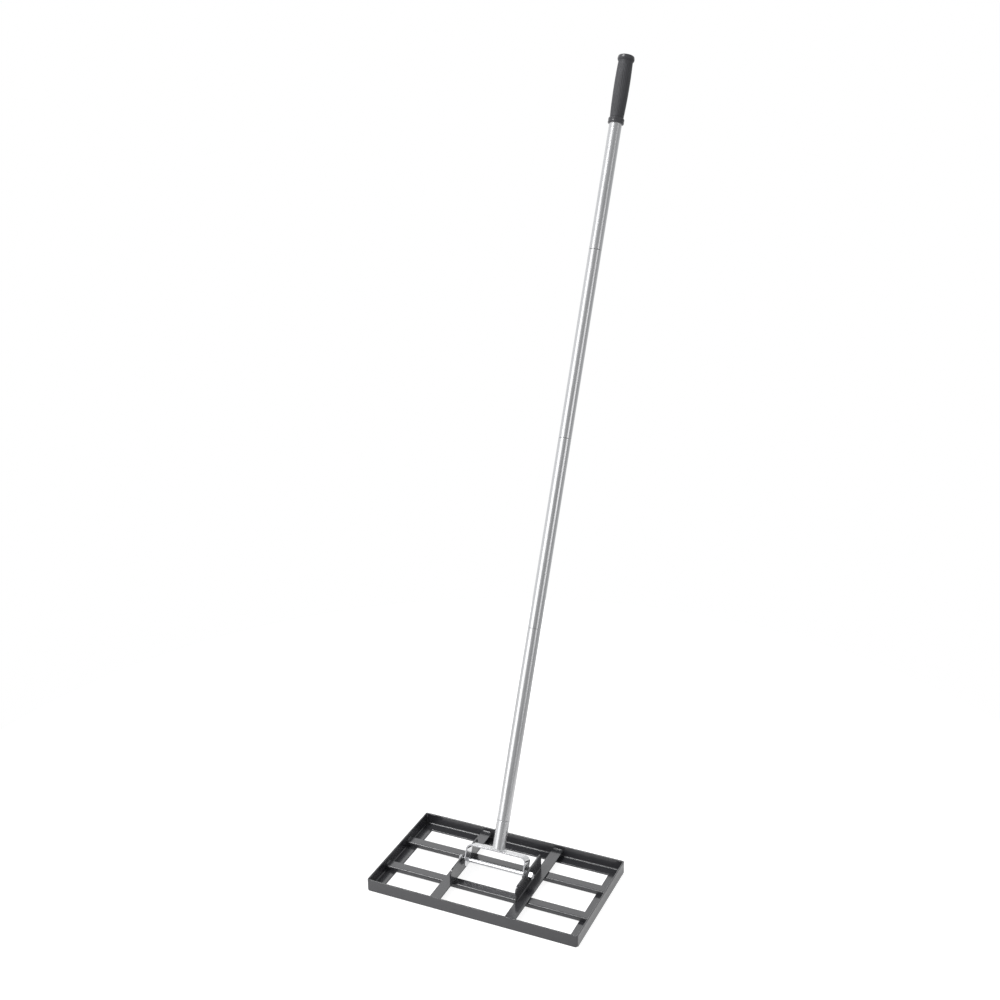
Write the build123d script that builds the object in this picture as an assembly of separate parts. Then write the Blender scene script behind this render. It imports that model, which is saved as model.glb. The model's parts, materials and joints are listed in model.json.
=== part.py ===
from build123d import *
import math
import os

# Levelling rake with a sectional pole: a welded steel head with nine open windows, a U-bracket
# that tilts on a long bolt between two ears, and a pole of screwed tube sections with a grip.
# Millimetres. +X along the head's long side, +Y to the back, +Z up. The origin is the middle of
# the front angle iron's flange, on the plane of the head's underside. The head is drawn about its
# own centre, and everything is moved to the origin at the end.

# ---- driving dimensions ----
HEAD_WIDTH = 430.0          # outer size of the head along X
HEAD_DEPTH = 250.0          # outer size of the head along Y
LEG = 24.5                  # both legs of the frame's angle iron
STEEL = 3.0                 # thickness of angle, bars, ears and bracket strip
ROOT_RADIUS = 4.0           # fillet between the angle's two legs
CORNER_RADIUS = 4.0         # rounding of the head's outer upright corners

ROW_BAR_WIDTH = 19.0        # flat top of a row bar, along Y
ROW_BAR_TOP = 12.0          # height of a row bar's top
ROW_BAR_FRONTS = {"front_row_bar": -55.5, "back_row_bar": 32.0}

CROSSBAR_INNER = 66.0       # inner edge of a crossbar, from the middle plane
CROSSBAR_WIDTH = 22.0

EAR_LENGTH = 120.0
EAR_HEIGHT = 30.0
EAR_CORNER = 12.0           # rounding of an ear's front top corner
EAR_BACK_CORNER = 6.0

PIVOT_Y = -4.0
PIVOT_Z = 34.5
LEAN = 24.5                 # degrees that the pole leans back at rest
BOLT_RADIUS = 4.0
BOLT_LENGTH = 150.0
BOLT_END_CHAMFER = 0.8
HOLE_RADIUS = 4.05          # bolt holes, a running fit on the bolt
WASHER_THICKNESS = 1.6
WASHER_RADIUS = 8.0
HEX_ACROSS_FLATS = 13.0
HEX_TURN = 5.0              # degrees that the hexagons are turned about the bolt
HEAD_HEIGHT = 5.3
NUT_HEIGHT = 6.5

BRACKET_HALF_WIDTH = 62.4
BRACKET_STRIP = 25.0        # width of the strip that the bracket is bent from
BRACKET_RISE = 33.0         # pivot to the outside of the web
BRACKET_BEND = 11.0         # outer radius of its two bends

TUBE_RADIUS = 12.5
TUBE_WALL = 1.0
STUB_TOP = 90.0             # end of the stub tube, measured along the pole from the pivot
SECTION = 371.0             # pitch of the pole's joints
JOINT_GAP = 0.4             # dark line left between two screwed sections
TOP_SECTION_EXTRA = 10.0    # the top section is this much longer
SECTIONS = 4
STUD_RADIUS = 7.92          # screw stud, over its crests
SOCKET_RADIUS = 8.0
STUD_LENGTH = 22.0
STUD_BODY = 20.0            # plug of the stud inside its tube
SOCKET_LENGTH = 26.0

GRIP_LENGTH = 136.0
GRIP_CAP = 6.0              # solid end of the grip beyond the tube
GRIP_COLLAR = (15.8, 9.0)   # radius and length of the ring at the grip's lower end
GRIP_NECK = (13.6, 11.0, 14.5)      # radius, start and end of the groove above it
GRIP_SWELL = (15.5, 70.0)   # radius and place of the thickest part of the barrel
GRIP_WAIST = (14.5, 122.4)  # radius and place of the waist below the end flange
GRIP_FLANGE = (16.8, 132.4) # radius and place of the end flange
GRIP_DOME = (13.4, 135.6)   # radius and place where its rounded end starts

WELD = 2.5                  # leg of a weld bead
CORNER_WELD = 3.0
STUB_WELD = 3.0
EAR_WELD = 2.0              # leg of the thin bead along an ear's foot
EAR_WELD_INSET = 1.5        # from the ear's ends to the ends of that bead

# ---- values that follow ----
WALL_X = HEAD_WIDTH / 2 - STEEL
WALL_Y = HEAD_DEPTH / 2 - STEEL
CROSSBAR_TOP = ROW_BAR_TOP + STEEL
EAR_OUTER = CROSSBAR_INNER + STEEL
WASHER_OUTER = EAR_OUTER + WASHER_THICKNESS
TUBE_BORE = TUBE_RADIUS - TUBE_WALL
POLE_END = STUB_TOP + SECTIONS * SECTION + TOP_SECTION_EXTRA
POLE_FRAME = Location((0, PIVOT_Y, PIVOT_Z), (-LEAN, 0, 0))
TO_ORIGIN = Pos(0, HEAD_DEPTH / 2 - LEG / 2, 0)


def cylinder_x(radius, start, end):
    """A cylinder along X from start to end, on the X axis."""
    rod = Cylinder(radius, end - start, align=(Align.CENTER, Align.CENTER, Align.MIN))
    return Pos(start, 0, 0) * Rot(0, 90, 0) * rod


def ring(outer, inner, low, high):
    """A plain ring about Z between two heights."""
    tall = (Align.CENTER, Align.CENTER, Align.MIN)
    body = Cylinder(outer, high - low, align=tall) - Cylinder(inner, high - low, align=tall)
    return Pos(0, 0, low) * body


def slab(low, high):
    """A box between two opposite corners."""
    size = [b - a for a, b in zip(low, high)]
    middle = [(a + b) / 2 for a, b in zip(low, high)]
    return Pos(*middle) * Box(*size)


def bead(length, size):
    """A weld bead along +X in the corner between the planes y = 0 and z = 0."""
    with BuildSketch(Plane.YZ) as profile:
        with BuildLine():
            Line((0, 0), (size, 0))
            ThreePointArc((size, 0), (0.62 * size, 0.62 * size), (0, size))
            Line((0, size), (0, 0))
        make_face()
    return extrude(profile.sketch, length)


# ---- the head's frame: one ring of angle iron, parted at its mitres ----
def frame_ring():
    outline = RectangleRounded(HEAD_WIDTH, HEAD_DEPTH, CORNER_RADIUS)
    walls = extrude(outline, LEG)
    hollow = Pos(0, 0, STEEL) * extrude(Rectangle(2 * WALL_X, 2 * WALL_Y), LEG)
    hollow = fillet(hollow.faces().sort_by(Axis.Z)[0].edges(), ROOT_RADIUS)
    window = extrude(Rectangle(HEAD_WIDTH - 2 * LEG, HEAD_DEPTH - 2 * LEG), LEG)
    return walls - hollow - window


def mitred_sides(whole):
    """Cut the ring along its four mitres."""
    half_x = HEAD_WIDTH / 2
    half_y = HEAD_DEPTH / 2
    spine = half_x - half_y
    wedges = {
        "frame_front_angle": [(-half_x, -half_y), (half_x, -half_y), (spine, 0), (-spine, 0)],
        "frame_back_angle": [(-half_x, half_y), (half_x, half_y), (spine, 0), (-spine, 0)],
        "frame_left_angle": [(-half_x, -half_y), (-half_x, half_y), (-spine, 0)],
        "frame_right_angle": [(half_x, -half_y), (half_x, half_y), (spine, 0)],
    }
    return {name: whole & extrude(make_face(Polyline(*corners, close=True)), LEG)
            for name, corners in wedges.items()}


def corner_beads():
    """Upright beads in the frame's four inner corners."""
    low = STEEL + ROOT_RADIUS
    upright = Rot(0, 0, -90) * Rot(0, -90, 0) * bead(LEG - CORNER_WELD / 2 - low, CORNER_WELD)
    beads = []
    for sx, sy, turn in ((-1, -1, 0), (1, -1, 90), (1, 1, 180), (-1, 1, 270)):
        beads.append(Pos(sx * WALL_X, sy * WALL_Y, low) * Rot(0, 0, turn) * upright)
    return beads


# ---- bars, ears and their welds ----
def row_bar(front, whole_frame):
    """A bent strip: a flat top and a front leg that stands on the side flanges."""
    back = front + ROW_BAR_WIDTH
    under = ROW_BAR_TOP - STEEL
    outline = Polyline((front, STEEL), (front + STEEL, STEEL), (front + STEEL, under), (back, under),
                       (back, ROW_BAR_TOP), (front, ROW_BAR_TOP), close=True)
    face = Plane.YZ * make_face(outline)
    bar = Pos(-WALL_X, 0, 0) * extrude(face, 2 * WALL_X, dir=(1, 0, 0))
    top_edges = bar.edges().filter_by(Axis.X).group_by(Axis.Z)[-1]
    bar = fillet(top_edges.sort_by(Axis.Y)[0], STEEL - 0.2)
    return bar - whole_frame


def crossbar(side):
    edges = sorted((side * CROSSBAR_INNER, side * (CROSSBAR_INNER + CROSSBAR_WIDTH)))
    return slab((edges[0], -WALL_Y, ROW_BAR_TOP), (edges[1], WALL_Y, CROSSBAR_TOP))


def ear(side):
    """An upright plate with a well rounded front corner and a hole for the bolt."""
    front = PIVOT_Y - EAR_LENGTH / 2
    back = front + EAR_LENGTH
    low = min(side * CROSSBAR_INNER, side * EAR_OUTER)
    plate = slab((low, front, CROSSBAR_TOP), (low + STEEL, back, CROSSBAR_TOP + EAR_HEIGHT))
    front_corner = plate.edges().filter_by(Axis.X).group_by(Axis.Z)[-1].sort_by(Axis.Y)[0]
    plate = fillet(front_corner, EAR_CORNER)
    back_corner = plate.edges().filter_by(Axis.X).group_by(Axis.Z)[-1].sort_by(Axis.Y)[-1]
    plate = fillet(back_corner, EAR_BACK_CORNER)
    hole = Pos(0, PIVOT_Y, PIVOT_Z) * cylinder_x(HOLE_RADIUS, low - 1, low + STEEL + 1)
    return plate - hole


def row_bar_beads():
    """Beads along Y on top of each row bar, where its ends meet the side walls."""
    length = ROW_BAR_WIDTH - STEEL - 1
    one = bead(length, WELD)
    beads = []
    for front in ROW_BAR_FRONTS.values():
        start = front + STEEL
        beads.append(Pos(-WALL_X, start + length, ROW_BAR_TOP) * Rot(0, 0, -90) * one)
        beads.append(Pos(WALL_X, start, ROW_BAR_TOP) * Rot(0, 0, 90) * one)
    return beads


def crossbar_beads():
    """Beads on top of the crossbars' ends, against the front and back walls."""
    length = CROSSBAR_WIDTH - 2
    one = bead(length, WELD)
    beads = []
    for side in (-1, 1):
        middle = side * (CROSSBAR_INNER + CROSSBAR_WIDTH / 2)
        beads.append(Pos(middle - length / 2, -WALL_Y, CROSSBAR_TOP) * one)
        beads.append(Pos(middle + length / 2, WALL_Y, CROSSBAR_TOP) * Rot(0, 0, 180) * one)
    return beads


def ear_beads():
    """A thin bead of weld along the foot of each ear, on its outer side."""
    length = EAR_LENGTH - 2 * EAR_WELD_INSET
    one = bead(length, EAR_WELD)
    front = PIVOT_Y - length / 2
    return [Pos(EAR_OUTER, front + length, CROSSBAR_TOP) * Rot(0, 0, -90) * one,
            Pos(-EAR_OUTER, front, CROSSBAR_TOP) * Rot(0, 0, 90) * one]


# ---- pivot fasteners ----
def hexagon(height):
    """A hexagon about X, from x = 0 to height, whose corners are bevelled at the far end."""
    turned = Rot(0, 0, HEX_TURN) * RegularPolygon(HEX_ACROSS_FLATS / 2, 6, major_radius=False)
    prism = extrude(turned, height)
    corner = HEX_ACROSS_FLATS / math.sqrt(3)
    bevel = 0.6
    tall = (Align.CENTER, Align.CENTER, Align.MIN)
    cone = Cone(corner + height, corner - bevel, height + bevel, align=tall)
    return Rot(0, 90, 0) * (prism & cone)


def pivot_bolt():
    shank = cylinder_x(BOLT_RADIUS, 0, BOLT_LENGTH)
    shank = chamfer(shank.faces().sort_by(Axis.X)[-1].edges(), BOLT_END_CHAMFER)
    head = Rot(0, 0, 180) * hexagon(HEAD_HEIGHT)
    return Pos(-WASHER_OUTER, PIVOT_Y, PIVOT_Z) * (shank + head)


def pivot_nut():
    body = hexagon(NUT_HEIGHT) - cylinder_x(HOLE_RADIUS, -1, NUT_HEIGHT + 1)
    return Pos(WASHER_OUTER, PIVOT_Y, PIVOT_Z) * body


def washer(start):
    body = cylinder_x(WASHER_RADIUS, 0, WASHER_THICKNESS)
    body -= cylinder_x(HOLE_RADIUS, -1, WASHER_THICKNESS + 1)
    return Pos(start, PIVOT_Y, PIVOT_Z) * body


def inner_washers():
    """Two washers on each side, between an ear and the bracket."""
    starts = []
    for number in (1, 2):
        starts.append(CROSSBAR_INNER - number * WASHER_THICKNESS)
        starts.append(-CROSSBAR_INNER + (number - 1) * WASHER_THICKNESS)
    return [washer(start) for start in starts]


def outer_washers():
    return [washer(EAR_OUTER), washer(-WASHER_OUTER)]


# ---- tilting bracket, drawn upright about the pivot and then leaned back ----
def bracket():
    """A U of bent strip with round arm ends, its web above the pivot."""
    half = BRACKET_HALF_WIDTH
    side = BRACKET_STRIP / 2
    web_under = BRACKET_RISE - STEEL
    outside = slab((-half, -side, -side), (half, side, BRACKET_RISE))
    outside = fillet(outside.edges().filter_by(Axis.Y).group_by(Axis.Z)[-1], BRACKET_BEND)
    inside = slab((STEEL - half, -2 * side, -2 * side), (half - STEEL, 2 * side, web_under))
    inside = fillet(inside.edges().filter_by(Axis.Y).group_by(Axis.Z)[-1], BRACKET_BEND - STEEL)
    round_end = cylinder_x(side, -half, half)
    upper = slab((-half, -side, 0), (half, side, BRACKET_RISE))
    strip = (outside - inside) & (round_end + upper)
    return strip - cylinder_x(HOLE_RADIUS, -half - 1, half + 1)


def stub_bead():
    """The ring of weld that joins the stub tube to the web, cut to the width of the strip."""
    foot = TUBE_RADIUS + 0.8 * STUB_WELD
    belly = 0.55 * STUB_WELD
    top = BRACKET_RISE + STUB_WELD
    with BuildSketch(Plane.XZ) as profile:
        with BuildLine():
            Line((TUBE_RADIUS, BRACKET_RISE), (foot, BRACKET_RISE))
            ThreePointArc((foot, BRACKET_RISE), (TUBE_RADIUS + belly, BRACKET_RISE + belly),
                          (TUBE_RADIUS, top))
            Line((TUBE_RADIUS, top), (TUBE_RADIUS, BRACKET_RISE))
        make_face()
    side = BRACKET_STRIP / 2 + 0.2
    return revolve(profile.sketch, Axis.Z) & slab((-foot, -side, 0), (foot, side, top))


# ---- pole sections ----
def tube(low, high):
    """A tube whose outer edges are broken."""
    body = ring(TUBE_RADIUS, TUBE_BORE, low, high)
    outer_edges = body.edges().filter_by(GeomType.CIRCLE).filter_by(lambda e: e.radius > TUBE_BORE + 0.1)
    return chamfer(outer_edges, 0.25)


def socket(top):
    """Threaded insert pressed into the top of a tube."""
    return ring(TUBE_BORE, SOCKET_RADIUS, top - SOCKET_LENGTH, top - 0.4)


def stud(low):
    """Plug in the foot of a tube, with the screw stud below it."""
    tall = (Align.CENTER, Align.CENTER, Align.MIN)
    plug = Pos(0, 0, low + 0.4) * Cylinder(TUBE_BORE, STUD_BODY, align=tall)
    screw = Cylinder(STUD_RADIUS, STUD_LENGTH + 0.4, align=tall)
    screw = chamfer(screw.faces().sort_by(Axis.Z)[0].edges(), 1.2)
    return plug + Pos(0, 0, low - STUD_LENGTH) * screw


def end_plug():
    tall = (Align.CENTER, Align.CENTER, Align.MIN)
    return Pos(0, 0, POLE_END - 15) * Cylinder(TUBE_BORE, 15, align=tall)


def grip():
    """Closed rubber grip: a collar, a groove, a swelling barrel and a rounded end flange."""
    end = POLE_END + GRIP_CAP
    low = end - GRIP_LENGTH
    collar, collar_length = GRIP_COLLAR
    neck, neck_start, neck_end = GRIP_NECK
    swell, waist, flange, dome = [(radius, low + place) for radius, place in
                                  (GRIP_SWELL, GRIP_WAIST, GRIP_FLANGE, GRIP_DOME)]
    dome_height = end - dome[1]
    dome_radius = (dome[0] ** 2 + dome_height ** 2) / (2 * dome_height)
    lip = (flange[0] - 0.3, flange[1] - 2.6)
    with BuildSketch(Plane.XZ) as profile:
        with BuildLine():
            Line((TUBE_RADIUS, low), (collar - 1.3, low))
            ThreePointArc((collar - 1.3, low), (collar - 0.4, low + 0.5), (collar, low + 1.5))
            Line((collar, low + 1.5), (collar, low + collar_length))
            ThreePointArc((collar, low + collar_length), (collar - 0.5, low + neck_start - 0.9),
                          (neck, low + neck_start))
            Line((neck, low + neck_start), (neck, low + neck_end))
            ThreePointArc((neck, low + neck_end), swell, waist)
            ThreePointArc(waist, ((waist[0] + lip[0]) / 2 - 0.1, (waist[1] + lip[1]) / 2), lip)
            ThreePointArc(lip, flange, dome)
            RadiusArc(dome, (0, end), -dome_radius)
            Line((0, end), (0, POLE_END))
            Line((0, POLE_END), (TUBE_RADIUS, POLE_END))
            Line((TUBE_RADIUS, POLE_END), (TUBE_RADIUS, low))
        make_face()
    return revolve(profile.sketch, Axis.Z)


# ---- assemble and write one STEP for each node ----
def head_nodes():
    whole = frame_ring()
    nodes = {name: [side] for name, side in mitred_sides(whole).items()}
    nodes["frame_corner_welds"] = corner_beads()
    for name, front in ROW_BAR_FRONTS.items():
        nodes[name] = [row_bar(front, whole)]
    nodes["row_bar_welds"] = row_bar_beads()
    nodes["left_crossbar"] = [crossbar(-1)]
    nodes["right_crossbar"] = [crossbar(1)]
    nodes["crossbar_welds"] = crossbar_beads()
    nodes["left_ear"] = [ear(-1)]
    nodes["right_ear"] = [ear(1)]
    nodes["ear_welds"] = ear_beads()
    nodes["pivot_bolt"] = [pivot_bolt()]
    nodes["pivot_nut"] = [pivot_nut()]
    nodes["inner_washers"] = inner_washers()
    nodes["outer_washers"] = outer_washers()
    return nodes


def pole_nodes():
    """Everything above the pivot, drawn upright."""
    nodes = {
        "tilt_bracket": [bracket()],
        "bracket_stub": [tube(BRACKET_RISE, STUB_TOP)],
        "stub_weld": [stub_bead()],
        "stub_socket": [socket(STUB_TOP)],
    }
    for number in range(1, SECTIONS + 1):
        low = STUB_TOP + (number - 1) * SECTION + JOINT_GAP
        high = STUB_TOP + number * SECTION
        last = number == SECTIONS
        nodes[f"pole_{number}"] = [tube(low, POLE_END if last else high)]
        nodes[f"pole_{number}_stud"] = [stud(low)]
        if not last:
            nodes[f"pole_{number}_socket"] = [socket(high)]
    nodes["pole_end_plug"] = [end_plug()]
    nodes["hand_grip"] = [grip()]
    return {name: [POLE_FRAME * solid for solid in solids] for name, solids in nodes.items()}


os.makedirs("parts", exist_ok=True)
for name, solids in {**head_nodes(), **pole_nodes()}.items():
    placed = [TO_ORIGIN * solid for solid in solids]
    shape = placed[0] if len(placed) == 1 else Compound(children=placed)
    shape.label = name
    export_step(shape, f"parts/{name}.step")
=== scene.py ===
import json
import math

import bmesh
import bpy
from mathutils import Matrix, Vector, noise


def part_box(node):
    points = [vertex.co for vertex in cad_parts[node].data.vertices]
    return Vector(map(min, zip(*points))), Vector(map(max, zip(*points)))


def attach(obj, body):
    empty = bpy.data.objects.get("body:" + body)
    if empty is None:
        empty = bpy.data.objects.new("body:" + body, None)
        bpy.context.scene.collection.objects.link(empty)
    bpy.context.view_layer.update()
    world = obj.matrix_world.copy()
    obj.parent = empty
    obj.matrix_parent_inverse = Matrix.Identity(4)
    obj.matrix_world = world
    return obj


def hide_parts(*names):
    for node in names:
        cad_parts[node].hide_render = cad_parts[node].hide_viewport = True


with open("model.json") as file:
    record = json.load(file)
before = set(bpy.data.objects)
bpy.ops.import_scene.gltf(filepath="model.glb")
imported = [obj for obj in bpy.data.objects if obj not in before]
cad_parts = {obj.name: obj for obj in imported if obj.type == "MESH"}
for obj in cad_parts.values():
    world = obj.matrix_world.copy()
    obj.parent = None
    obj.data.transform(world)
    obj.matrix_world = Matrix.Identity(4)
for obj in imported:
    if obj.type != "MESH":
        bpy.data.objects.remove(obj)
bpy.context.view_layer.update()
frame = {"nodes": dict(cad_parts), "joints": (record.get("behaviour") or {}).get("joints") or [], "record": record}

# Looks of the levelling rake. Metres, in the row frame. Every piece stands for one CAD node, rides
# on that node's body and takes its material slot, all read from the record.

MM = 0.001
TURN = 2 * math.pi

# ---- what the frame says ----
RECORD = frame["record"]
BODY = {node: body for body, nodes in RECORD["behaviour"]["bodies"].items() for node in nodes}
SLOT = {part["node"]: part["material_slot"] for part in RECORD["subparts"]}
JOINT = {joint["name"]: joint for joint in frame["joints"]}

SIDES = ("frame_front_angle", "frame_back_angle", "frame_left_angle", "frame_right_angle")
HEAD_LOW = Vector([min(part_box(node)[0][axis] for node in SIDES) for axis in range(3)])
HEAD_HIGH = Vector([max(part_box(node)[1][axis] for node in SIDES) for axis in range(3)])
HEAD_CENTRE = Vector(((HEAD_LOW.x + HEAD_HIGH.x) / 2, (HEAD_LOW.y + HEAD_HIGH.y) / 2, 0))
LEG = HEAD_HIGH.z - HEAD_LOW.z

PIVOT = Vector(JOINT["pole_tilt"]["pos_m"])
POLE_AXIS = Vector(JOINT["section_1_unscrew"]["axis"]).normalized()
LEAN = math.atan2(POLE_AXIS.y, POLE_AXIS.z)
POLE_FRAME = Matrix.Translation(PIVOT) @ Matrix.Rotation(-LEAN, 4, "X")

# ---- sizes that the boxes don't give ----
STEEL = 3.0 * MM                # thickness of angle, bars, ears and strip
ROOT_RADIUS = 2.6 * MM          # between the angle's two legs
CORNER_RADIUS = 4.0 * MM        # outer upright corners of the frame
EAR_CORNERS = (12.0 * MM, 6.0 * MM)     # in front and behind
BOLT_RADIUS = 4.0 * MM
HOLE_RADIUS = 4.05 * MM
HEX_FLATS = 13.0 * MM           # across the flats of the bolt's head and the nut
HEX_TURN = math.radians(5)
BRACKET_BEND = 11.0 * MM        # outer radius of the bracket's bends
BRACKET_WIDTH = 25.0 * MM       # width of its strip
TUBE_RADIUS = 12.5 * MM
TUBE_BORE = 11.5 * MM
STUD_RADIUS = 7.92 * MM
STUD_LENGTH = 22.0 * MM
SOCKET_RADIUS = 8.0 * MM
PITCH = 2.0 * MM                # of the threads between the pole's sections
EDGE = 0.3 * MM                 # broken edges of the pole's turned parts
SECTIONS = 4


def along_pole(node):
    """Where a node of the pole starts and ends, measured along the pole from the pivot."""
    places = [(v.co - PIVOT).dot(POLE_AXIS) for v in frame["nodes"][node].data.vertices]
    return min(places), max(places)


# ---- mesh building ----
def arc(centre, radius, start, end, count):
    """Points on an arc, its angles in degrees."""
    steps = [math.radians(start + (end - start) * k / count) for k in range(count + 1)]
    x, y = centre
    return [Vector((x + radius * math.cos(a), y + radius * math.sin(a))) for a in steps]


def circle(centre, radius, count, clockwise=False):
    """A closed loop of points."""
    return arc(centre, radius, 0, -360 if clockwise else 360, count)[:-1]


def rounded(corners, count=5):
    """A closed outline whose corners, given as (x, y, radius), are round."""
    points = []
    for number, (x, y, radius) in enumerate(corners):
        here = Vector((x, y))
        back = (Vector(corners[number - 1][:2]) - here).normalized()
        ahead = (Vector(corners[(number + 1) % len(corners)][:2]) - here).normalized()
        half = back.angle(ahead) / 2
        centre = here + (back + ahead).normalized() * radius / math.sin(half)
        spoke = here + back * radius / math.tan(half) - centre
        last = here + ahead * radius / math.tan(half) - centre
        sweep = math.atan2(spoke.x * last.y - spoke.y * last.x, spoke.dot(last))
        for k in range(count + 1):
            points.append(centre + Matrix.Rotation(sweep * k / count, 2) @ spoke)
    return points


def inset(loop, amount):
    """The loop moved to its left by an amount, which is inwards if it runs anticlockwise."""
    moved = []
    for number, point in enumerate(loop):
        back = (point - loop[number - 1]).normalized()
        ahead = (loop[(number + 1) % len(loop)] - point).normalized()
        left = Vector((-back.y, back.x)) + Vector((-ahead.y, ahead.x))
        moved.append(point + left * amount / (1 + back.dot(ahead)))
    return moved


def skin(rows, ring=True, loop=False, caps=True):
    """A mesh through rows of points. ring closes each row, loop joins the last row to the first,
    and caps close the two ends."""
    bm = bmesh.new()
    made = [[bm.verts.new(point) for point in row] for row in rows]
    for lower, upper in zip(made, made[1:] + made[:1] if loop else made[1:]):
        for i in range(len(lower) - (0 if ring else 1)):
            j = (i + 1) % len(lower)
            bm.faces.new((lower[i], lower[j], upper[j], upper[i]))
    if caps and not loop:
        bm.faces.new(made[0])
        bm.faces.new(made[-1])
    return clean(bm)


def clean(bm):
    """Welds doubled points and turns all faces outwards."""
    bmesh.ops.remove_doubles(bm, verts=bm.verts, dist=1e-6)
    bmesh.ops.dissolve_degenerate(bm, edges=bm.edges, dist=1e-7)
    bmesh.ops.recalc_face_normals(bm, faces=bm.faces)
    return bm


def join(parts):
    """One mesh from several."""
    whole = bmesh.new()
    for part in parts:
        scratch = bpy.data.meshes.new("scratch")
        part.to_mesh(scratch)
        part.free()
        whole.from_mesh(scratch)
        bpy.data.meshes.remove(scratch)
    return whole


def prism(loops, length, edge, place=Matrix.Identity(4)):
    """A straight piece with rounded end edges. The first loop, anticlockwise, is its outline in XY,
    and clockwise loops are holes. It runs along Z, half its length each way."""
    bm = bmesh.new()
    ends = {-1: [], 1: []}
    for loop in loops:
        rows = []
        for side in (-1, 1):
            steps = [k * math.pi / 6 for k in range(4)]
            for a in (steps if side < 0 else steps[::-1]):
                ring = inset(loop, edge * (1 - math.sin(a)))
                height = side * (length / 2 - edge * (1 - math.cos(a)))
                rows.append([bm.verts.new((p.x, p.y, height)) for p in ring])
        for lower, upper in zip(rows, rows[1:]):
            for i, corner in enumerate(lower):
                bm.faces.new((lower[i - 1], corner, upper[i], upper[i - 1]))
        for side, row in ((-1, rows[0]), (1, rows[-1])):
            ends[side] += [bm.edges.get((row[i - 1], row[i])) for i in range(len(row))]
    for edges in ends.values():
        bmesh.ops.triangle_fill(bm, edges=edges, use_beauty=True)
    bm.transform(place)
    return clean(bm)


def lathe(profile, count=96, closed=False, thread=None):
    """A turned piece about Z from (radius, height) points. thread is (depth, pitch, low, high):
    a helical groove is cut between two heights, inwards for a positive depth."""
    steepness, crest = 2.6, 0.15        # of the thread's flanks, and how flat its crests are

    def cut(height, angle):
        """How deep the groove is at a place on the surface."""
        if thread is None:
            return 0.0
        depth, pitch, low, high = thread
        fade = min(1.0, max(0.0, min(height - low, high - height) / (0.5 * pitch)))
        phase = (height / pitch - angle / TURN) % 1.0
        groove = min(1.0, max(0.0, steepness * abs(phase - 0.5) - crest))
        return depth * fade * groove

    rows = []
    for k in range(count):
        angle = TURN * k / count
        row = []
        for radius, height in profile:
            r = radius - cut(height, angle) if radius else 0.0
            row.append((r * math.cos(angle), r * math.sin(angle), height))
        rows.append(row)
    return skin(rows, ring=closed, loop=True)


def ladder(low, high, step):
    """Evenly spaced heights from low to high."""
    count = max(1, round((high - low) / step))
    return [low + (high - low) * k / count for k in range(count + 1)]


X_TO_Z = Matrix.Rotation(math.pi / 2, 4, "Y")      # turns a piece about Z into one about X
YZ_PLANE = Matrix(((0, 0, 1, 0), (1, 0, 0, 0), (0, 1, 0, 0), (0, 0, 0, 1)))      # XY to YZ, Z to X
XZ_PLANE = Matrix(((1, 0, 0, 0), (0, 0, -1, 0), (0, 1, 0, 0), (0, 0, 0, 1)))     # XY to XZ, Z to -Y


# ---- materials ----
def link(tree, source, target):
    tree.links.new(source, target)


def new_material(name, base, **sockets):
    """A material with its Principled shader, whose constants are set on its own sockets."""
    material = bpy.data.materials.new(name)
    material.use_nodes = True
    shader = material.node_tree.nodes["Principled BSDF"]
    shader.inputs["Base Color"].default_value = (*base, 1)
    for socket, value in sockets.items():
        shader.inputs[socket.replace("_", " ")].default_value = value
    return material, shader


def coordinates(tree, scale, turn=0.0):
    """Object coordinates, turned about X and then scaled along the three axes."""
    source = tree.nodes.new("ShaderNodeTexCoord").outputs["Object"]
    if turn:
        turned = tree.nodes.new("ShaderNodeMapping")
        turned.inputs["Rotation"].default_value[0] = turn
        link(tree, source, turned.inputs["Vector"])
        source = turned.outputs["Vector"]
    scaled = tree.nodes.new("ShaderNodeMapping")
    scaled.inputs["Scale"].default_value = scale
    link(tree, source, scaled.inputs["Vector"])
    return scaled.outputs["Vector"]


def grain(tree, scale, turn=0.0, detail=3.0, roughness=0.5):
    """Noise at so many cells a metre along each axis."""
    node = tree.nodes.new("ShaderNodeTexNoise")
    node.inputs["Scale"].default_value = 1.0
    node.inputs["Detail"].default_value = detail
    node.inputs["Roughness"].default_value = roughness
    link(tree, coordinates(tree, scale, turn), node.inputs["Vector"])
    return node.outputs["Fac"]


def ranged(tree, value, low, high, start=0.3, end=0.7):
    """A value from start to end turned into one from low to high."""
    node = tree.nodes.new("ShaderNodeMapRange")
    node.inputs["From Min"].default_value = start
    node.inputs["From Max"].default_value = end
    node.inputs["To Min"].default_value = low
    node.inputs["To Max"].default_value = high
    link(tree, value, node.inputs["Value"])
    return node.outputs["Result"]


def tinted(tree, value, dark, light):
    """A colour between two, chosen by a noise."""
    node = tree.nodes.new("ShaderNodeMix")
    node.data_type = "RGBA"
    node.inputs["A"].default_value = (*dark, 1)
    node.inputs["B"].default_value = (*light, 1)
    link(tree, ranged(tree, value, 0, 1), node.inputs["Factor"])
    return node.outputs["Result"]


def projected(tree, vector, along):
    """How far a vector reaches along a unit vector."""
    node = tree.nodes.new("ShaderNodeVectorMath")
    node.operation = "DOT_PRODUCT"
    node.inputs[1].default_value = along
    link(tree, vector, node.inputs[0])
    return node.outputs["Value"]


def calculate(tree, operation, first, second):
    """A sum on two values, each a socket or a number."""
    node = tree.nodes.new("ShaderNodeMath")
    node.operation = operation
    for place, value in enumerate((first, second)):
        if isinstance(value, float):
            node.inputs[place].default_value = value
        else:
            link(tree, value, node.inputs[place])
    return node.outputs["Value"]


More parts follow.
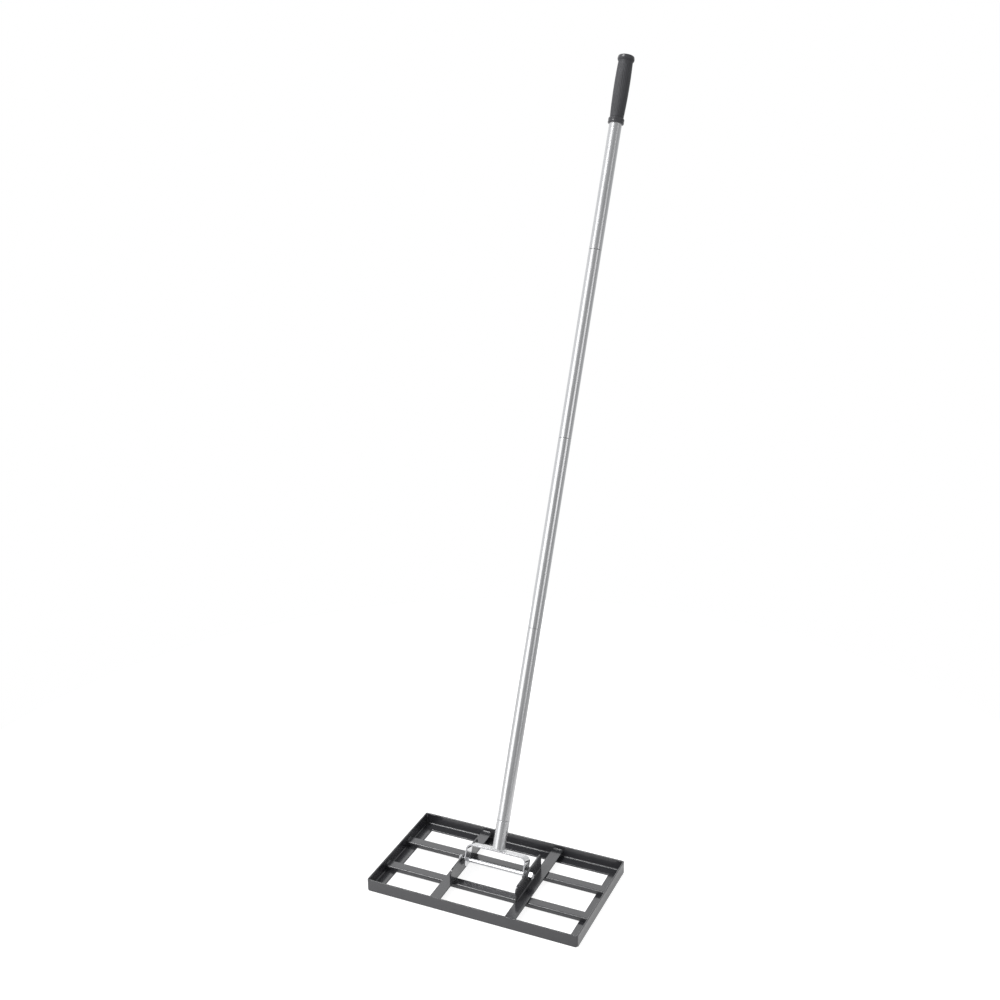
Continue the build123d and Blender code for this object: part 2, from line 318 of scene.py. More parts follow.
def bumps(tree, shader, layers):
    """Stacks bump layers, given as (height, strength, distance in metres)."""
    normal = None
    for height, strength, distance in layers:
        node = tree.nodes.new("ShaderNodeBump")
        node.inputs["Strength"].default_value = strength
        node.inputs["Distance"].default_value = distance
        link(tree, height, node.inputs["Height"])
        if normal is not None:
            link(tree, normal, node.inputs["Normal"])
        normal = node.outputs["Normal"]
    link(tree, normal, shader.inputs["Normal"])


def frame_paint():
    """Dark grey gloss powder coat: a fine orange peel over faintly uneven mill steel."""
    dark, light = (0.028, 0.028, 0.032), (0.034, 0.034, 0.038)
    material, shader = new_material("frame_paint", light, IOR=1.5, Coat_Weight=0.55,
                                    Coat_Roughness=0.14)
    tree = material.node_tree
    cloud = grain(tree, (45, 45, 45))
    peel = grain(tree, (700, 700, 700), detail=1.0)
    speck = grain(tree, (2600, 2600, 2600), detail=2.0)
    link(tree, tinted(tree, cloud, dark, light), shader.inputs["Base Color"])
    link(tree, ranged(tree, cloud, 0.20, 0.25), shader.inputs["Roughness"])
    bumps(tree, shader, [(cloud, 0.15, 0.1 * MM), (peel, 0.25, 0.015 * MM),
                         (speck, 0.1, 0.006 * MM)])
    return material


def zinc_plate(name="zinc_plate", turn=0.0, cut=None):
    """Bright zinc: a cool metal with faint clouds in its gloss and fine rolling marks. A strip is
    brighter, but its edges, which face along cut, are darker in colour."""
    dark, light = (0.62, 0.63, 0.65), (0.74, 0.74, 0.75)
    if cut is not None:
        dark, light = (0.80, 0.81, 0.82), (0.90, 0.90, 0.91)
    material, shader = new_material(name, light, Metallic=1.0)
    tree = material.node_tree
    cloud = grain(tree, (160, 160, 160), turn)
    rolled = grain(tree, (60, 2200, 900), turn, detail=2.0)
    colour = tinted(tree, cloud, dark, light)
    if cut is not None:
        # faces that face along cut are given a darker colour
        normal = tree.nodes.new("ShaderNodeTexCoord").outputs["Normal"]
        across = calculate(tree, "POWER", projected(tree, normal, cut), 2.0)
        darker_edges = tree.nodes.new("ShaderNodeMix")
        darker_edges.data_type = "RGBA"
        link(tree, ranged(tree, across, 0, 1), darker_edges.inputs["Factor"])
        link(tree, colour, darker_edges.inputs["A"])
        darker_edges.inputs["B"].default_value = (0.36, 0.36, 0.37, 1)
        colour = darker_edges.outputs["Result"]
    link(tree, colour, shader.inputs["Base Color"])
    link(tree, ranged(tree, rolled, 0.13, 0.26), shader.inputs["Roughness"])
    bumps(tree, shader, [(cloud, 0.3, 0.12 * MM), (rolled, 0.3, 0.01 * MM)])
    return material


def brushed_tube():
    """Satin tube, polished along its length: long fine streaks in colour, gloss and height."""
    dark, light = (0.66, 0.66, 0.67), (0.79, 0.79, 0.80)
    material, shader = new_material("brushed_tube", light, Metallic=1.0)
    tree = material.node_tree
    streak = grain(tree, (900, 900, 9), LEAN, detail=4.0, roughness=0.7)
    fine = grain(tree, (3200, 3200, 24), LEAN, detail=2.0)
    stain = grain(tree, (30, 30, 14), LEAN)
    link(tree, tinted(tree, streak, dark, light), shader.inputs["Base Color"])
    link(tree, ranged(tree, stain, 0.22, 0.30), shader.inputs["Roughness"])
    bumps(tree, shader, [(streak, 0.25, 0.02 * MM), (fine, 0.25, 0.01 * MM)])
    return material


def thread_insert():
    """Turned aluminium: tool marks run round the axis."""
    dark, light = (0.62, 0.62, 0.63), (0.76, 0.76, 0.77)
    material, shader = new_material("thread_insert", light, Metallic=1.0)
    tree = material.node_tree
    turned = grain(tree, (40, 40, 2600), LEAN, detail=2.0)
    cloud = grain(tree, (200, 200, 200), LEAN)
    link(tree, tinted(tree, cloud, dark, light), shader.inputs["Base Color"])
    link(tree, ranged(tree, turned, 0.24, 0.38), shader.inputs["Roughness"])
    bumps(tree, shader, [(turned, 0.35, 0.02 * MM)])
    return material


def end_plug_plastic():
    """Moulded black plastic with a fine spark-eroded grain."""
    dark, light = (0.026, 0.026, 0.027), (0.038, 0.038, 0.04)
    material, shader = new_material("end_plug_plastic", light, IOR=1.46)
    tree = material.node_tree
    texture = grain(tree, (1500, 1500, 1500), LEAN, detail=2.0)
    link(tree, tinted(tree, texture, dark, light), shader.inputs["Base Color"])
    link(tree, ranged(tree, texture, 0.5, 0.65), shader.inputs["Roughness"])
    bumps(tree, shader, [(texture, 0.4, 0.03 * MM)])
    return material


def grip_rubber():
    """Dark grey rubber with a soft sheen: finely textured, but smooth on its collar and end."""
    dark, light = (0.048, 0.048, 0.053), (0.060, 0.060, 0.066)
    material, shader = new_material("grip_rubber", light, IOR=1.5, Sheen_Weight=0.25,
                                    Sheen_Roughness=0.4)
    tree = material.node_tree
    pebble = grain(tree, (1900, 1900, 1900), LEAN, detail=1.0)
    cloud = grain(tree, (70, 70, 40), LEAN)
    low, high = [PIVOT.dot(POLE_AXIS) + place for place in along_pole("hand_grip")]
    along = projected(tree, tree.nodes.new("ShaderNodeTexCoord").outputs["Object"], POLE_AXIS)
    collar = ranged(tree, along, 1, 0, low + 9 * MM, low + 11 * MM)
    end = ranged(tree, along, 0, 1, high - 10 * MM, high - 8 * MM)
    smooth = calculate(tree, "MAXIMUM", collar, end)
    glossier = calculate(tree, "MULTIPLY", smooth, 0.2)
    rough = calculate(tree, "SUBTRACT", ranged(tree, pebble, 0.42, 0.58), glossier)
    link(tree, tinted(tree, cloud, dark, light), shader.inputs["Base Color"])
    link(tree, rough, shader.inputs["Roughness"])
    relief = calculate(tree, "MULTIPLY", pebble, calculate(tree, "SUBTRACT", 1.0, smooth))
    bumps(tree, shader, [(relief, 0.5, 0.05 * MM)])
    return material


FINISH = {
    "frame_paint": frame_paint(),
    "zinc_plate": zinc_plate(),
    "brushed_tube": brushed_tube(),
    "thread_insert": thread_insert(),
    "end_plug_plastic": end_plug_plastic(),
    "grip_rubber": grip_rubber(),
}
POLE_ZINC = zinc_plate("zinc_plate_bracket", LEAN, cut=POLE_FRAME.to_3x3() @ Vector((0, 1, 0)))


def piece(node, bm, place=None, material=None, sharp=35):
    """Turns a mesh into the visible piece that stands for a CAD node."""
    if place is not None:
        bm.transform(place)
    bmesh.ops.recalc_face_normals(bm, faces=bm.faces)
    mesh = bpy.data.meshes.new(node + "_skin")
    bm.to_mesh(mesh)
    bm.free()
    obj = bpy.data.objects.new(node + "_skin", mesh)
    bpy.context.scene.collection.objects.link(obj)
    mesh.materials.append(material or FINISH[SLOT[node]])
    mesh.shade_smooth()
    mesh.set_sharp_from_angle(angle=math.radians(sharp))
    flat = obj.modifiers.new("flat faces stay flat", "WEIGHTED_NORMAL")
    flat.keep_sharp = True
    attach(obj, BODY[node])
    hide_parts(node)
    return obj


# ---- the head's frame ----
def angle_profile():
    """The angle iron's section as (distance in from the outer face, height). A point on the bottom
    and one on the outer face mark how far the grinding at a corner's foot reaches."""
    edge, toe = 0.6 * MM, 1.2 * MM
    points = rounded([
        (0, 0, edge), (LEG, 0, edge), (LEG, STEEL, toe), (STEEL, STEEL, ROOT_RADIUS),
        (STEEL, LEG, toe), (0, LEG, edge),
    ])
    points.insert(6, Vector((LEG / 4, 0)))
    points.append(Vector((0, LEG / 4)))
    return points


def mitred_side(along, inward, half_length, reach):
    """One side of the frame, mitred at both ends. along and inward are unit vectors, and reach is
    how far its outer face is from the frame's centre."""
    seam = 0.25 * MM            # the edges of the mitre are broken
    ground = 2.2 * MM           # how much is ground off the outer corner's foot
    stations = [(2 * CORNER_RADIUS, 0), (0.7 * CORNER_RADIUS, 0)] + [(0, 9 * k) for k in range(6)]
    rows = []
    for end in (-1, 1):
        section = []
        for number, (run, degrees) in enumerate(stations):
            sweep = math.radians(degrees)
            near = max(0, number - 1) / (len(stations) - 2)
            row = []
            for depth, height in angle_profile():
                room = max(CORNER_RADIUS - depth, 0.0)
                back = max(CORNER_RADIUS, depth)
                place = half_length - back - run + room * math.sin(sweep)
                inwards = CORNER_RADIUS - room * math.cos(sweep) if room else depth
                foot = max(0, 1 - 4 * depth / LEG) * max(0, 1 - 4 * height / LEG)
                rise = ground * near ** 1.5 * foot
                row.append(HEAD_CENTRE + along * end * place - inward * (reach - inwards)
                           + Vector((0, 0, height + rise)))
            section.append(row)
        # the mitre's face is drawn in a little, which leaves a fine seam between two sides
        closing = [point - along * end * seam for point in section[-1]]
        shrunk = []
        middle = sum(closing, Vector()) / len(closing)
        for point in closing:
            shrunk.append(point + (middle - point).normalized() * seam)
        section.append(shrunk)
        rows += section[::-1] if end < 0 else section
    return skin(rows)


def frame_sides():
    """The four angle irons."""
    half_x = (HEAD_HIGH.x - HEAD_LOW.x) / 2
    half_y = (HEAD_HIGH.y - HEAD_LOW.y) / 2
    x, y = Vector((1, 0, 0)), Vector((0, 1, 0))
    piece("frame_front_angle", mitred_side(x, y, half_x, half_y))
    piece("frame_back_angle", mitred_side(x, -y, half_x, half_y))
    piece("frame_left_angle", mitred_side(y, x, half_y, half_x))
    piece("frame_right_angle", mitred_side(y, -x, half_y, half_x))


# ---- bars and ears ----
def row_bars():
    """Bent strip: a flat top and a front leg, with a round bend between them."""
    for node in ("front_row_bar", "back_row_bar"):
        low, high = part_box(node)
        under = high.z - STEEL
        outline = rounded([
            (low.y, low.z, 0.5 * MM), (low.y + STEEL, low.z, 0.5 * MM),
            (low.y + STEEL, under, 1.0 * MM), (high.y, under, 0.6 * MM),
            (high.y, high.z, 0.6 * MM), (low.y, high.z, 2.8 * MM),
        ])
        place = Matrix.Translation(((low.x + high.x) / 2, 0, 0)) @ YZ_PLANE
        piece(node, prism([outline], high.x - low.x, 0.3 * MM, place))


def crossbars():
    """Rolled flat bar with slightly rounded edges."""
    for node in ("left_crossbar", "right_crossbar"):
        low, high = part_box(node)
        edge = 0.7 * MM
        outline = rounded([(low.x, low.z, edge), (high.x, low.z, edge), (high.x, high.z, edge),
                           (low.x, high.z, edge)])
        place = Matrix.Translation((0, (low.y + high.y) / 2, 0)) @ XZ_PLANE
        piece(node, prism([outline], high.y - low.y, 0.3 * MM, place))


def ears():
    """Cut plates with the bolt's hole. The front corner is rounder than the back one."""
    for node in ("left_ear", "right_ear"):
        low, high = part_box(node)
        front, back = EAR_CORNERS
        outline = rounded([(low.y, low.z, 0.5 * MM), (high.y, low.z, 0.5 * MM),
                           (high.y, high.z, back), (low.y, high.z, front)], 10)
        hole = circle((PIVOT.y, PIVOT.z), HOLE_RADIUS, 40, clockwise=True)
        place = Matrix.Translation(((low.x + high.x) / 2, 0, 0)) @ YZ_PLANE
        piece(node, prism([outline, hole], high.x - low.x, 0.35 * MM, place))


# ---- weld beads ----
def weld(path, size, ripple=1.3 * MM, seed=0.0, room=None, closed=False):
    """A rippled bead. path is (length, at): at(s) gives for s from 0 to 1 the corner's point and
    two unit vectors that lie along the two faces it joins. room(s) limits its foot."""
    length, at = path
    steps = max(8, round(5 * length / ripple))      # five rows to each ripple
    across = 9
    rows = []
    for k in range(steps + (0 if closed else 1)):
        s = k / steps
        corner, foot, up = at(s)
        taper = 1.0 if closed else math.sqrt(max(0.02, 1 - abs(2 * s - 1) ** 7))
        row = [corner]
        for j in range(across):
            a = j / (across - 1) * math.pi / 2
            bow = 0.45 * math.sin(2 * a)
            scale = ((s * length / ripple + bow) % 1.0) ** 0.6
            wobble = noise.noise(Vector((s * length / MM * 0.35, a, seed)))
            bulge = 0.93 + 0.03 * scale + 0.03 * wobble
            belly = 1 - 0.14 * math.sin(2 * a)
            reach = size * taper * bulge * belly
            out = reach * math.cos(a)
            if room is not None:
                out = min(out, room(s))
            row.append(corner + foot * out + up * reach * math.sin(a))
        rows.append(row)
    return skin(rows, loop=closed)


def straight(start, end, foot, up):
    """The path of a straight bead."""
    start, end = Vector(start), Vector(end)
    foot, up = Vector(foot), Vector(up)
    return (end - start).length, lambda s: (start.lerp(end, s), foot, up)


def corner_welds():
    """Upright beads in the frame's four inner corners."""
    size = 3.0 * MM
    beads = []
    for sx in (-1, 1):
        for sy in (-1, 1):
            x = HEAD_CENTRE.x + sx * ((HEAD_HIGH.x - HEAD_LOW.x) / 2 - STEEL)
            y = HEAD_CENTRE.y + sy * ((HEAD_HIGH.y - HEAD_LOW.y) / 2 - STEEL)
            low, high = STEEL + ROOT_RADIUS * 0.4, LEG - size / 2
            path = straight((x, y, low), (x, y, high), (-sx, 0, 0), (0, -sy, 0))
            beads.append(weld(path, size, seed=10 * sx + sy))
    piece("frame_corner_welds", join(beads), sharp=60)


def bar_welds():
    """Beads on top of the row bars' ends, against the side walls."""
    size = 2.5 * MM
    beads = []
    for node in ("front_row_bar", "back_row_bar"):
        low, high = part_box(node)
        for side, x in ((1, low.x), (-1, high.x)):
            path = straight((x, low.y + STEEL, high.z), (x, high.y - MM, high.z), (side, 0, 0),
                            (0, 0, 1))
            beads.append(weld(path, size, seed=20 + low.y + side))
    piece("row_bar_welds", join(beads), sharp=60)


def crossbar_welds():
    """Beads on top of the crossbars' ends, against the front and back walls."""
    size = 2.5 * MM
    beads = []
    for node in ("left_crossbar", "right_crossbar"):
        low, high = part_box(node)
        for side, y in ((1, low.y), (-1, high.y)):
            path = straight((low.x + MM, y, high.z), (high.x - MM, y, high.z), (0, side, 0),
                            (0, 0, 1))
            beads.append(weld(path, size, seed=40 + low.x + side))
    piece("crossbar_welds", join(beads), sharp=60)


def ear_welds():
    """A thin bead along the foot of each ear, on its outer side."""
    size, from_end = 2.0 * MM, 1.5 * MM
    beads = []
    for node, side in (("left_ear", -1), ("right_ear", 1)):
        low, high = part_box(node)
        x = low.x if side < 0 else high.x
        path = straight((x, low.y + from_end, low.z), (x, high.y - from_end, low.z), (side, 0, 0),
                        (0, 0, 1))
        beads.append(weld(path, size, seed=60 + side))
    piece("ear_welds", join(beads), sharp=60)


def stub_weld():
    """The ring of weld at the stub's foot. It thins where the tube is as wide as the strip."""
    size = 3.0 * MM
    base = along_pole("bracket_stub")[0]
    half_strip = BRACKET_WIDTH / 2 + 0.2 * MM

    def at(s):
        outwards = Vector((math.cos(TURN * s), math.sin(TURN * s), 0))
        return outwards * TUBE_RADIUS + Vector((0, 0, base)), outwards, Vector((0, 0, 1))

    def room(s):
        return max(0.15 * MM, half_strip / max(abs(math.sin(TURN * s)), 1e-3) - TUBE_RADIUS)

    path = (TURN * TUBE_RADIUS, at)
    bead = weld(path, size, seed=80, room=room, closed=True)
    piece("stub_weld", bead, POLE_FRAME, POLE_ZINC, sharp=60)


# ---- fasteners, drawn about Z and then laid along X through the pivot ----
def hexagon(height, low_bevel, hole=None):
    """A hexagon whose corners are bevelled at the top, and at the bottom too for a nut."""
    count = 6 * 12                          # twelve points to each side
    flat_circle = HEX_FLATS / 2 * 0.97
    slope = math.tan(math.radians(30))
    angles = [TURN * k / count for k in range(count)]
    spokes = [Vector((math.cos(a + HEX_TURN), math.sin(a + HEX_TURN), 0)) for a in angles]
    rows = [[] for _ in range(4)]
    for angle, spoke in zip(angles, spokes):
        radius = HEX_FLATS / 2 / math.cos(angle % (TURN / 6) - TURN / 12)
        drop = (radius - flat_circle) * slope
        foot = (flat_circle, drop) if low_bevel else (radius, 0.05 * height)
        places = ((foot[0], 0), (radius, foot[1]), (radius, height - drop), (flat_circle, height))
        for row, (r, z) in zip(rows, places):
            row.append(spoke * r + Vector((0, 0, z)))
    if hole is None:
        return skin(rows)
    flare = 0.6 * MM                        # the countersink at each end of the thread
    places = ((hole + flare, height), (hole, height - flare), (hole, flare), (hole + flare, 0))
    inner = [[spoke * r + Vector((0, 0, z)) for spoke in spokes] for r, z in places]
    return skin(rows + inner, loop=True)


def on_pivot(x, facing=1):
    """Lays a piece drawn about Z along the bolt, from x, facing +X or -X."""
    turn = X_TO_Z if facing > 0 else Matrix.Rotation(-math.pi / 2, 4, "Y")
    return Matrix.Translation((x, PIVOT.y, PIVOT.z)) @ turn


def pivot_bolt():
    """A long hexagon bolt, threaded over its last stretch."""
    low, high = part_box("pivot_bolt")
    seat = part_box("outer_washers")[0].x
    end = high.x - seat
    pitch = 1.25 * MM
    run = 22 * MM
    depth = 0.62 * MM
    chamfer = 0.8 * MM
    profile = [(0, 0), (BOLT_RADIUS, 0), (BOLT_RADIUS, end - run - pitch)]
    profile += [(BOLT_RADIUS, z) for z in ladder(end - run, end - chamfer, pitch / 7)]
    profile += [(BOLT_RADIUS - chamfer, end), (0, end)]
    shank = lathe(profile, 56, thread=(depth, pitch, end - run, end - 0.5 * chamfer))
    head = hexagon(seat - low.x, low_bevel=False)
    head.transform(Matrix.Rotation(math.pi, 4, "X"))
    piece("pivot_bolt", join([shank, head]), on_pivot(seat), sharp=30)


def pivot_nut():
    """The bolt's nut, bevelled on both sides."""
    low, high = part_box("pivot_nut")
    piece("pivot_nut", hexagon(high.x - low.x, True, HOLE_RADIUS), on_pivot(low.x), sharp=25)


def washer_ring(thickness, radius):
    """A stamped washer: its upper edge is rounded more than its lower one."""
    outline = rounded([(HOLE_RADIUS, 0, 0.15 * MM), (radius, 0, 0.2 * MM),
                       (radius, thickness, 0.5 * MM), (HOLE_RADIUS, thickness, 0.3 * MM)], 4)
    return lathe([tuple(point) for point in outline], 72, closed=True)


def washers():
    """Two inner washers on each side, and one outer washer at each end."""
    inner_low, inner_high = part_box("inner_washers")
    outer_low, outer_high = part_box("outer_washers")
    radius = (inner_high.z - inner_low.z) / 2
    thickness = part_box("left_ear")[0].x - outer_low.x
    stacks = {"inner_washers": [], "outer_washers": []}
    for number in range(2):
        stacks["inner_washers"].append((inner_high.x - (number + 1) * thickness, 1))
        stacks["inner_washers"].append((inner_low.x + (number + 1) * thickness, -1))
    stacks["outer_washers"] = [(outer_high.x - thickness, 1), (outer_low.x + thickness, -1)]
    for node, stack in stacks.items():
        rings = []
        for x, facing in stack:
            ring = washer_ring(thickness, radius)
            ring.transform(on_pivot(x, facing))
            rings.append(ring)
        piece(node, join(rings), sharp=40)


# ---- the tilting bracket: a flat strip, bent twice ----
def tilt_bracket():
    """A flat strip with round ends and two holes, bent about its middle into a U."""
    low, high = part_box("tilt_bracket")
    half_width = (high.x - low.x) / 2
    side, rise = along_pole("tilt_bracket")
    side = -side                                    # radius of the round ends
    bend = BRACKET_BEND - STEEL / 2                 # radius of the middle of the strip
    web = half_width - BRACKET_BEND                 # half the web's flat stretch
    curve = bend * math.pi / 2
    arm = rise - BRACKET_BEND                       # end of the bend to the pivot
    hole_at = web + curve + arm

    outline = arc((hole_at, 0), side, -90, 90, 24) + arc((-hole_at, 0), side, 90, 270, 24)
    holes = [circle((s * hole_at, 0), HOLE_RADIUS, 40, clockwise=True) for s in (-1, 1)]
    strip = prism([outline, *holes], STEEL, 0.45 * MM)
    cuts = 8
    for sign in (-1, 1):
        for k in range(cuts + 1):
            everything = strip.verts[:] + strip.edges[:] + strip.faces[:]
            bmesh.ops.bisect_plane(strip, geom=everything, dist=1e-7, plane_no=(1, 0, 0),
                                   plane_co=(sign * (web + curve * k / cuts), 0, 0))
    for v in strip.verts:
        s, w = abs(v.co.x), v.co.z
        sign = 1 if v.co.x > 0 else -1
        if s <= web:
            x, z = s, rise - STEEL / 2 + w
        elif s < web + curve:
            a = (s - web) / bend
            x, z = web + (bend + w) * math.sin(a), arm + (bend + w) * math.cos(a)
        else:
            x, z = web + bend + w, arm - (s - web - curve)
        v.co = (sign * x, v.co.y, z)
    piece("tilt_bracket", strip, POLE_FRAME, POLE_ZINC, sharp=30)


# ---- the pole ----
def tube(node, below=0.0, above=0.0):
    """A tube with broken edges. below and above are the gaps that its joints show."""
    low, high = along_pole(node)
    low, high = low + below, high - above
    outline = rounded([(TUBE_BORE, low, 0.1 * MM), (TUBE_RADIUS, low, EDGE),
                       (TUBE_RADIUS, high, EDGE), (TUBE_BORE, high, 0.1 * MM)], 3)
    piece(node, lathe([tuple(point) for point in outline], 128, closed=True), POLE_FRAME)


def stud(node):
    """The plug in a tube's foot, with its threaded stud."""
    low, high = along_pole(node)
    neck = low + STUD_LENGTH + 0.4 * MM
    tip = 1.2 * MM                              # bevel at the stud's end
    waist = STUD_RADIUS - 0.9 * MM              # undercut below the plug
    undercut = neck - 1.2 * MM
    profile = [(0, low), (STUD_RADIUS - tip, low), (STUD_RADIUS, low + tip)]
    profile += [(STUD_RADIUS, z) for z in ladder(low + tip, neck - 1.5 * MM, PITCH / 8)[1:]]
    profile += [(waist, undercut), (waist, neck), (TUBE_BORE - EDGE, neck),
                (TUBE_BORE, neck + EDGE), (TUBE_BORE, high), (0, high)]
    thread = (1.0 * MM, PITCH, low + 0.3 * MM, undercut)
    piece(node, lathe(profile, 64, thread=thread), POLE_FRAME)


def socket(node):
    """The threaded insert in a tube's top."""
    low, high = along_pole(node)
    bore = [(SOCKET_RADIUS, z) for z in ladder(low + 0.5 * MM, high - 0.9 * MM, PITCH / 6)]
    profile = [(SOCKET_RADIUS, low), *bore, (SOCKET_RADIUS + 0.8 * MM, high),
               (TUBE_BORE - EDGE, high), (TUBE_BORE, high - EDGE), (TUBE_BORE, low)]
    thread = (-0.9 * MM, PITCH, low, high - 0.6 * MM)
    piece(node, lathe(profile, 64, closed=True, thread=thread), POLE_FRAME)


def end_plug():
    """The closed plug in the pole's top, with a flange of ribs that grip the bore."""
    low, high = along_pole("pole_end_plug")
    core, crest, flange = TUBE_BORE - 1.0 * MM, TUBE_BORE - 0.1 * MM, TUBE_BORE - 0.05 * MM
    profile = [(0, low), (core - 0.2 * MM, low)]
    ribs = 4
    step = (high - low - 3 * MM) / ribs
    for number in range(ribs):
        z = low + number * step
        profile += [(core, z + 0.4 * MM), (crest, z + 0.6 * step), (crest, z + 0.8 * step),
                    (core, z + step)]
    profile += [(flange, high - 2.5 * MM), (flange, high - 0.5 * MM), (TUBE_BORE - 0.6 * MM, high),
                (0, high)]
    piece("pole_end_plug", lathe(profile, 72), POLE_FRAME)


def hand_grip():
    """Closed rubber grip: a grooved collar, a groove, a fluted barrel and a round end bead."""
    low, high = along_pole("hand_grip")
    tube_end = along_pole(f"pole_{SECTIONS}")[1]
    collar, neck, rim = 15.8 * MM, 13.6 * MM, 16.8 * MM
    lip = 1.3 * MM                      # radius of the collar's two edges
    ring = collar - 0.5 * MM            # floor of the fine groove round the collar
    channel = neck - 0.6 * MM           # floor of the groove between collar and barrel
    belly, edge = 7.0 * MM, 2.6 * MM    # radii of the end bead's side and of its rim

    def bow(centre, *sizes):
        """A stretch of the profile that runs on an arc."""
        return [tuple(point) for point in arc(centre, *sizes)]

    def barrel(t):
        """Radius between the groove, at t = 0, and the waist, at t = 1."""
        start, middle, end = neck, 15.3 * MM, 14.4 * MM
        return start * (2 * t - 1) * (t - 1) - 4 * middle * t * (t - 1) + end * t * (2 * t - 1)

    start, waist = low + 14.5 * MM, low + 122.4 * MM
    profile = [(TUBE_RADIUS, low + 1.0 * MM), (TUBE_RADIUS + 0.5 * MM, low)]
    profile += bow((collar - lip, low + lip), lip, -90, 0, 6)
    profile += [(collar, low + 3.8 * MM), (ring, low + 4.6 * MM), (ring, low + 5.2 * MM)]
    profile += [(collar, low + 6 * MM)]
    profile += bow((collar - lip, low + 8.7 * MM), lip, 0, 80, 6)
    profile += [(channel, low + 10.3 * MM), (channel, low + 11.3 * MM), (neck, low + 12.2 * MM)]
    profile += [(barrel((z - start) / (waist - start)), z) for z in ladder(start, waist, 1.5 * MM)]
    profile += [(14.55 * MM, waist + 1.0 * MM)]
    profile += bow((rim - belly, low + 129 * MM), belly, -44, 0, 8)
    profile += bow((rim - 0.6 * MM - edge, low + 132.4 * MM), edge, 9, 80, 9)
    radius, shoulder = profile[-1]
    profile += [(radius * r, shoulder + (high - shoulder) * (1 - r ** 3))
                for r in (0.93, 0.8, 0.6, 0.4, 0.2)]
    profile += [(0, high), (0, tube_end), (TUBE_RADIUS, tube_end)]

    flutes, depth, run_out = 30, 0.35 * MM, 6 * MM
    bm = lathe(profile, 8 * flutes)
    for v in bm.verts:
        if start < v.co.z < waist:
            fade = min(1.0, (v.co.z - start) / run_out, (waist - v.co.z) / run_out)
            outwards = Vector((v.co.x, v.co.y, 0))
            if outwards.length > TUBE_RADIUS + 0.5 * MM:
                angle = math.atan2(v.co.y, v.co.x)
                groove = max(0.0, math.cos(flutes * angle)) ** 1.5
                v.co -= outwards.normalized() * depth * groove * fade
    piece("hand_grip", bm, POLE_FRAME, sharp=50)


def pole():
    """The stub and the four sections, with a fine gap at each joint between two sections."""
    tube("bracket_stub")
    socket("stub_socket")
    gap = 0.2 * MM
    for number in range(1, SECTIONS + 1):
        tube(f"pole_{number}", gap if number > 1 else 0, gap if number < SECTIONS else 0)
        stud(f"pole_{number}_stud")
        if number < SECTIONS:
            socket(f"pole_{number}_socket")
    end_plug()
    hand_grip()


# ---- stage ----
def floor():
    """A round pale floor, which looks as white as the backdrop but reflects less light."""
    bm = bmesh.new()
    bmesh.ops.create_circle(bm, cap_ends=True, radius=1.3, segments=96)
    mesh = bpy.data.meshes.new("floor")
    bm.to_mesh(mesh)
    bm.free()
    obj = bpy.data.objects.new("floor", mesh)
    obj.location = (HEAD_CENTRE.x, HEAD_CENTRE.y, HEAD_LOW.z)
    bpy.context.scene.collection.objects.link(obj)
    material, shader = new_material("floor_paper", (0.44, 0.44, 0.44), Roughness=0.9)
    shader.inputs["Specular IOR Level"].default_value = 0.1
    shader.inputs["Emission Color"].default_value = (1, 1, 1, 1)
    tree = material.node_tree
    seen = tree.nodes.new("ShaderNodeLightPath").outputs["Is Camera Ray"]
    # in reflections it glows in a pool round a place in front of the head, and fades outwards
    away = tree.nodes.new("ShaderNodeVectorMath")
    away.operation = "DISTANCE"
    away.inputs[1].default_value = (-0.15, -0.35, 0)
    link(tree, tree.nodes.new("ShaderNodeTexCoord").outputs["Object"], away.inputs[0])
    pool = ranged(tree, away.outputs["Value"], 0.8, 0.05, 0.2, 1.1)
    link(tree, calculate(tree, "MAXIMUM", pool, ranged(tree, seen, 0, 0.85, 0, 1)),
         shader.inputs["Emission Strength"])
    mesh.materials.append(material)


def direction(azimuth, elevation):
    """Unit vector towards a place round the object: azimuth 0 is in front, 90 to the right."""
    a, e = math.radians(azimuth), math.radians(elevation)
    return Vector((math.sin(a) * math.cos(e), -math.cos(a) * math.cos(e), math.sin(e)))


def softbox(name, azimuth, elevation, distance, width, height, brightness):
    """A soft rectangular light that faces the pole's middle. Its brightness is the radiance of its
    surface."""
    lamp = bpy.data.lights.new(name, "AREA")
    lamp.shape = "RECTANGLE"
    lamp.size, lamp.size_y = width, height
    lamp.energy = brightness * math.pi * width * height
    obj = bpy.data.objects.new(name, lamp)
    towards = direction(azimuth, elevation)
    obj.location = HEAD_CENTRE + Vector((0, 0, 0.7)) + towards * distance
    obj.rotation_euler = towards.to_track_quat("Z", "Y").to_euler()
    bpy.context.scene.collection.objects.link(obj)


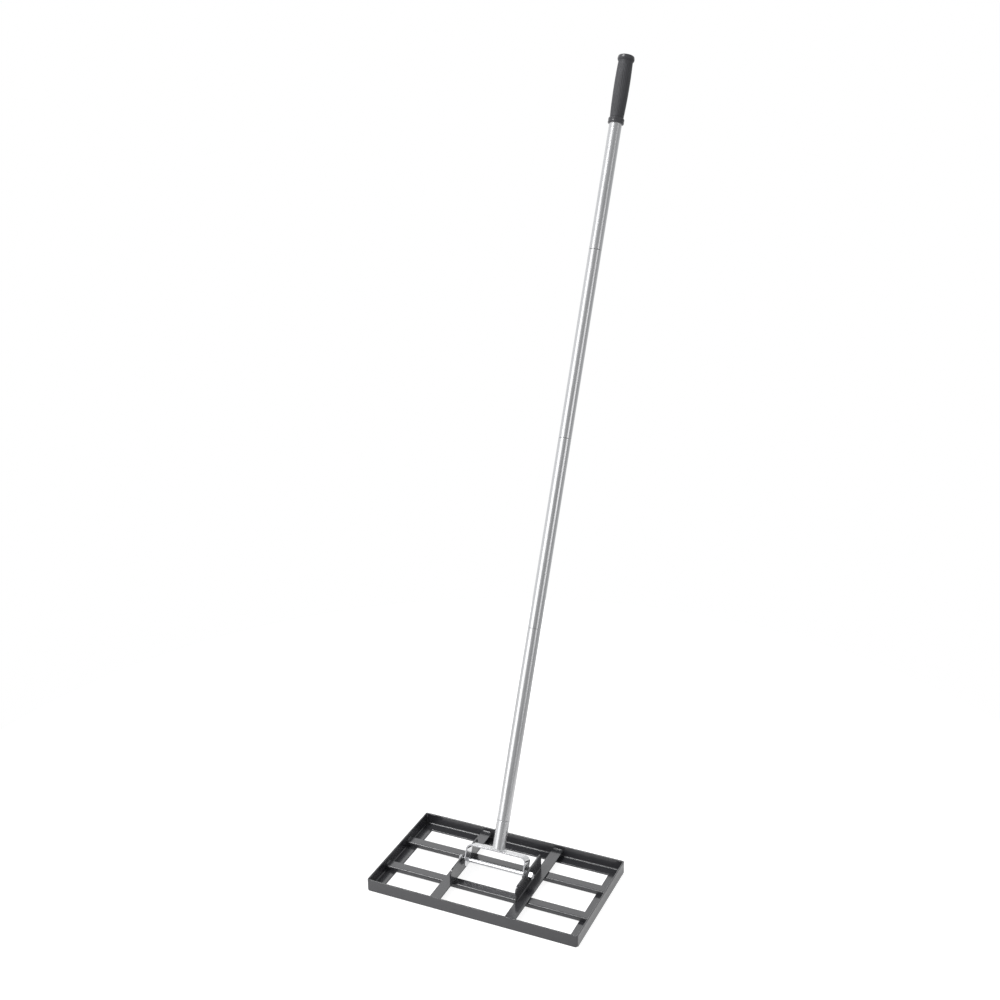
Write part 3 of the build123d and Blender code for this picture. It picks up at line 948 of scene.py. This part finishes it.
def lights():
    """Two broad lights from the sides, a bright one from above and a wide, weak one behind."""
    softbox("key", -35, 20.2, 15.0, 11.5, 9.5, 1.1)
    softbox("fill", 74, 13, 15.0, 6.5, 5.5, 1.08)
    softbox("top", -48, 58, 12.0, 3.6, 3.6, 16.0)
    softbox("back", 204, 26, 15.0, 14.0, 9.0, 0.72)


def surroundings():
    """Pale surroundings: plain white to the camera, but in reflections darker on the right."""
    world = bpy.data.worlds.new("studio")
    world.use_nodes = True
    bpy.context.scene.world = world
    tree = world.node_tree
    backdrop = tree.nodes["Background"]
    backdrop.inputs["Color"].default_value = (1, 1, 1, 1)
    room = tree.nodes.new("ShaderNodeBackground")
    room.inputs["Color"].default_value = (0.98, 0.99, 1, 1)
    place = tree.nodes.new("ShaderNodeTexCoord").outputs["Generated"]
    side = projected(tree, place, direction(62, 0))
    link(tree, ranged(tree, side, 0.85, 0.33, -0.9, 0.9), room.inputs["Strength"])
    choose = tree.nodes.new("ShaderNodeMixShader")
    ray = tree.nodes.new("ShaderNodeLightPath")
    link(tree, ray.outputs["Is Camera Ray"], choose.inputs["Fac"])
    link(tree, room.outputs["Background"], choose.inputs[1])
    link(tree, backdrop.outputs["Background"], choose.inputs[2])
    link(tree, choose.outputs["Shader"], tree.nodes["World Output"].inputs["Surface"])
    bpy.context.scene.view_settings.view_transform = "Standard"


def camera():
    """The photograph's view: from the front right, a little above the pole's middle."""
    azimuth, elevation, roll = 24.51, 20.57, math.radians(-0.68)
    distance, lens = 2.4887, 51.08
    target = HEAD_CENTRE + Vector((0.0002, 0.0347, 0.7708))
    back = direction(azimuth, elevation)
    level = Vector((0, 0, 1)).cross(back).normalized()
    upright = back.cross(level)
    right = level * math.cos(roll) + upright * math.sin(roll)
    up = upright * math.cos(roll) - level * math.sin(roll)
    data = bpy.data.cameras.new("camera")
    data.lens = lens
    data.clip_end = 100
    obj = bpy.data.objects.new("camera", data)
    obj.matrix_world = Matrix((right, up, back)).transposed().to_4x4()
    obj.location = target + back * distance
    bpy.context.scene.collection.objects.link(obj)
    bpy.context.scene.camera = obj


camera()
floor()
lights()
surroundings()

frame_sides()
row_bars()
crossbars()
ears()
corner_welds()
bar_welds()
crossbar_welds()
ear_welds()
pivot_bolt()
pivot_nut()
washers()
tilt_bracket()
stub_weld()
pole()
